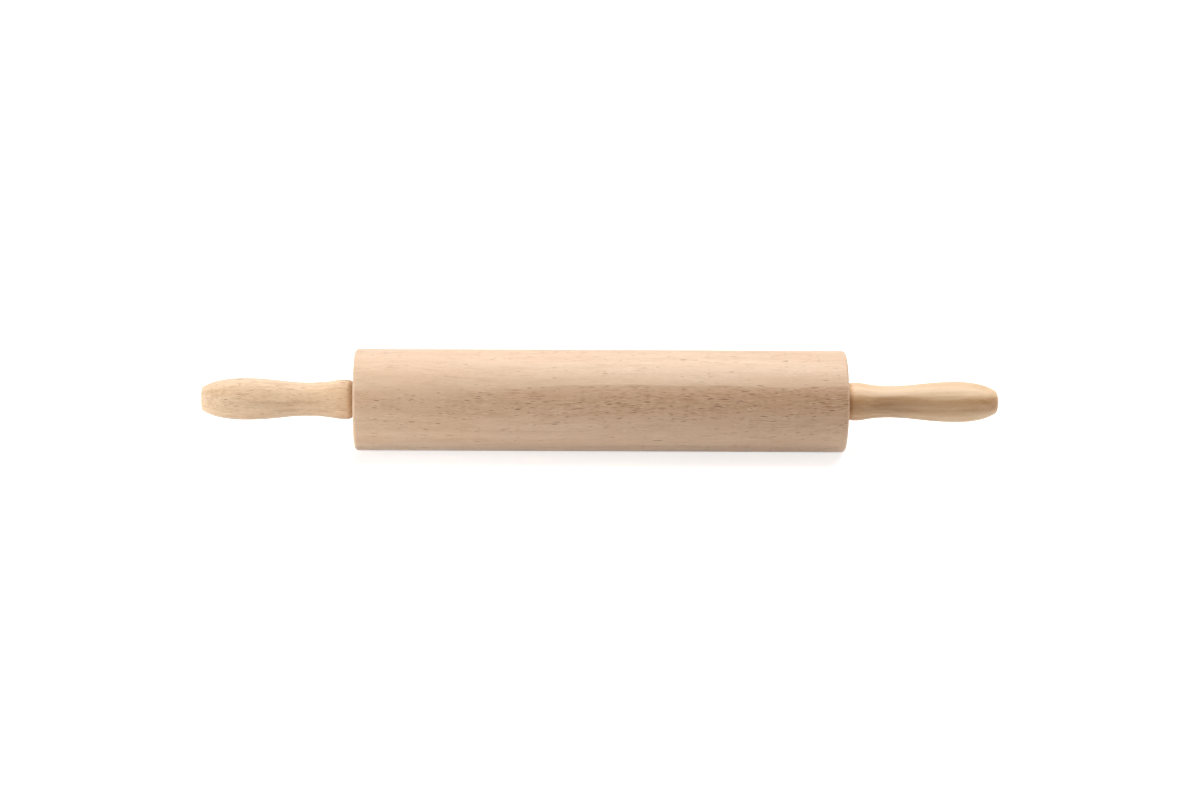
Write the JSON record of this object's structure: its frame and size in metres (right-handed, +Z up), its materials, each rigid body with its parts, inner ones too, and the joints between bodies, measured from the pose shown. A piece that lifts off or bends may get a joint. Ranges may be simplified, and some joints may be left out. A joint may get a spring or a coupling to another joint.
{
  "type": "rolling pin with turned handles",
  "caption": "Straight wooden roller with rounded ends that turns freely on a steel axle between turned wooden handles, for rolling out dough.",
  "frame": {"origin": "middle of the pin, on the axle's centre line, which is also the middle of the barrel", "axes": "+X along the pin towards the slimmer handle, at the right of the picture; +Z up; -Y towards the camera"},
  "size_m": [0.4062, 0.052, 0.052],
  "materials": {
    "barrel_wood": "fine-sanded, satin oil",
    "left_handle_wood": "fine-sanded, satin lacquer",
    "right_handle_wood": "fine-sanded, satin lacquer",
    "axle_steel": "drawn, bright",
    "bush_nylon": "natural moulded nylon",
    "washer_steel": "stamped and tumbled",
    "ring_steel": "phosphated spring steel, oiled"
  },
  "bodies": {
    "grips": {"axle_rod": "axle_steel", "left_handle": "left_handle_wood", "right_handle": "right_handle_wood", "left_thrust_washer": "washer_steel", "right_thrust_washer": "washer_steel", "left_retaining_ring": "ring_steel", "right_retaining_ring": "ring_steel"},
    "roller": {"barrel": "barrel_wood", "left_bush": "bush_nylon", "right_bush": "bush_nylon"}
  },
  "joints": [
    {"name": "barrel_spin", "type": "hinge", "parent": "grips", "child": "roller", "pos_m": [0, 0, 0], "axis": [1, 0, 0], "continuous": true}
  ]
}
